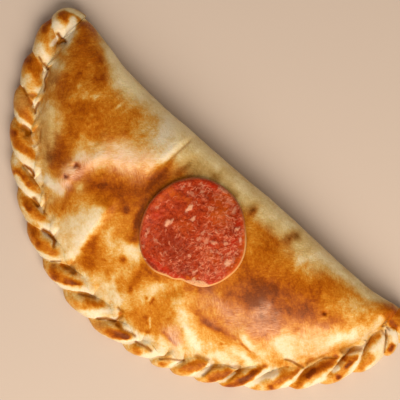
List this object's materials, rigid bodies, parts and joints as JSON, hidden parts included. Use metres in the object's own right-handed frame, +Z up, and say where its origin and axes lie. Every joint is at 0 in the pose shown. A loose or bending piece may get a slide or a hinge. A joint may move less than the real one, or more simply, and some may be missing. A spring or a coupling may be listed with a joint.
{
  "type": "folded manakish",
  "caption": "Baked half-moon bread, folded over its filling, with a twisted rope crimp round the rim and a round sausage slice on top.",
  "frame": {"origin": "on the surface that the bread lies on, under the middle of its outline", "axes": "+X along the straight fold, from the tip at the picture's upper left to the other tip; +Y towards the fold; +Z up"},
  "size_m": [0.2245, 0.1051, 0.0334],
  "materials": {
    "baked_crust": "baked golden crust with brown patches, brushed with oil",
    "cured_sausage": "oily, mottled with fat"
  },
  "bodies": {
    "root": {"folded_dough": "baked_crust", "sausage_slice": "cured_sausage"}
  },
  "joints": []
}
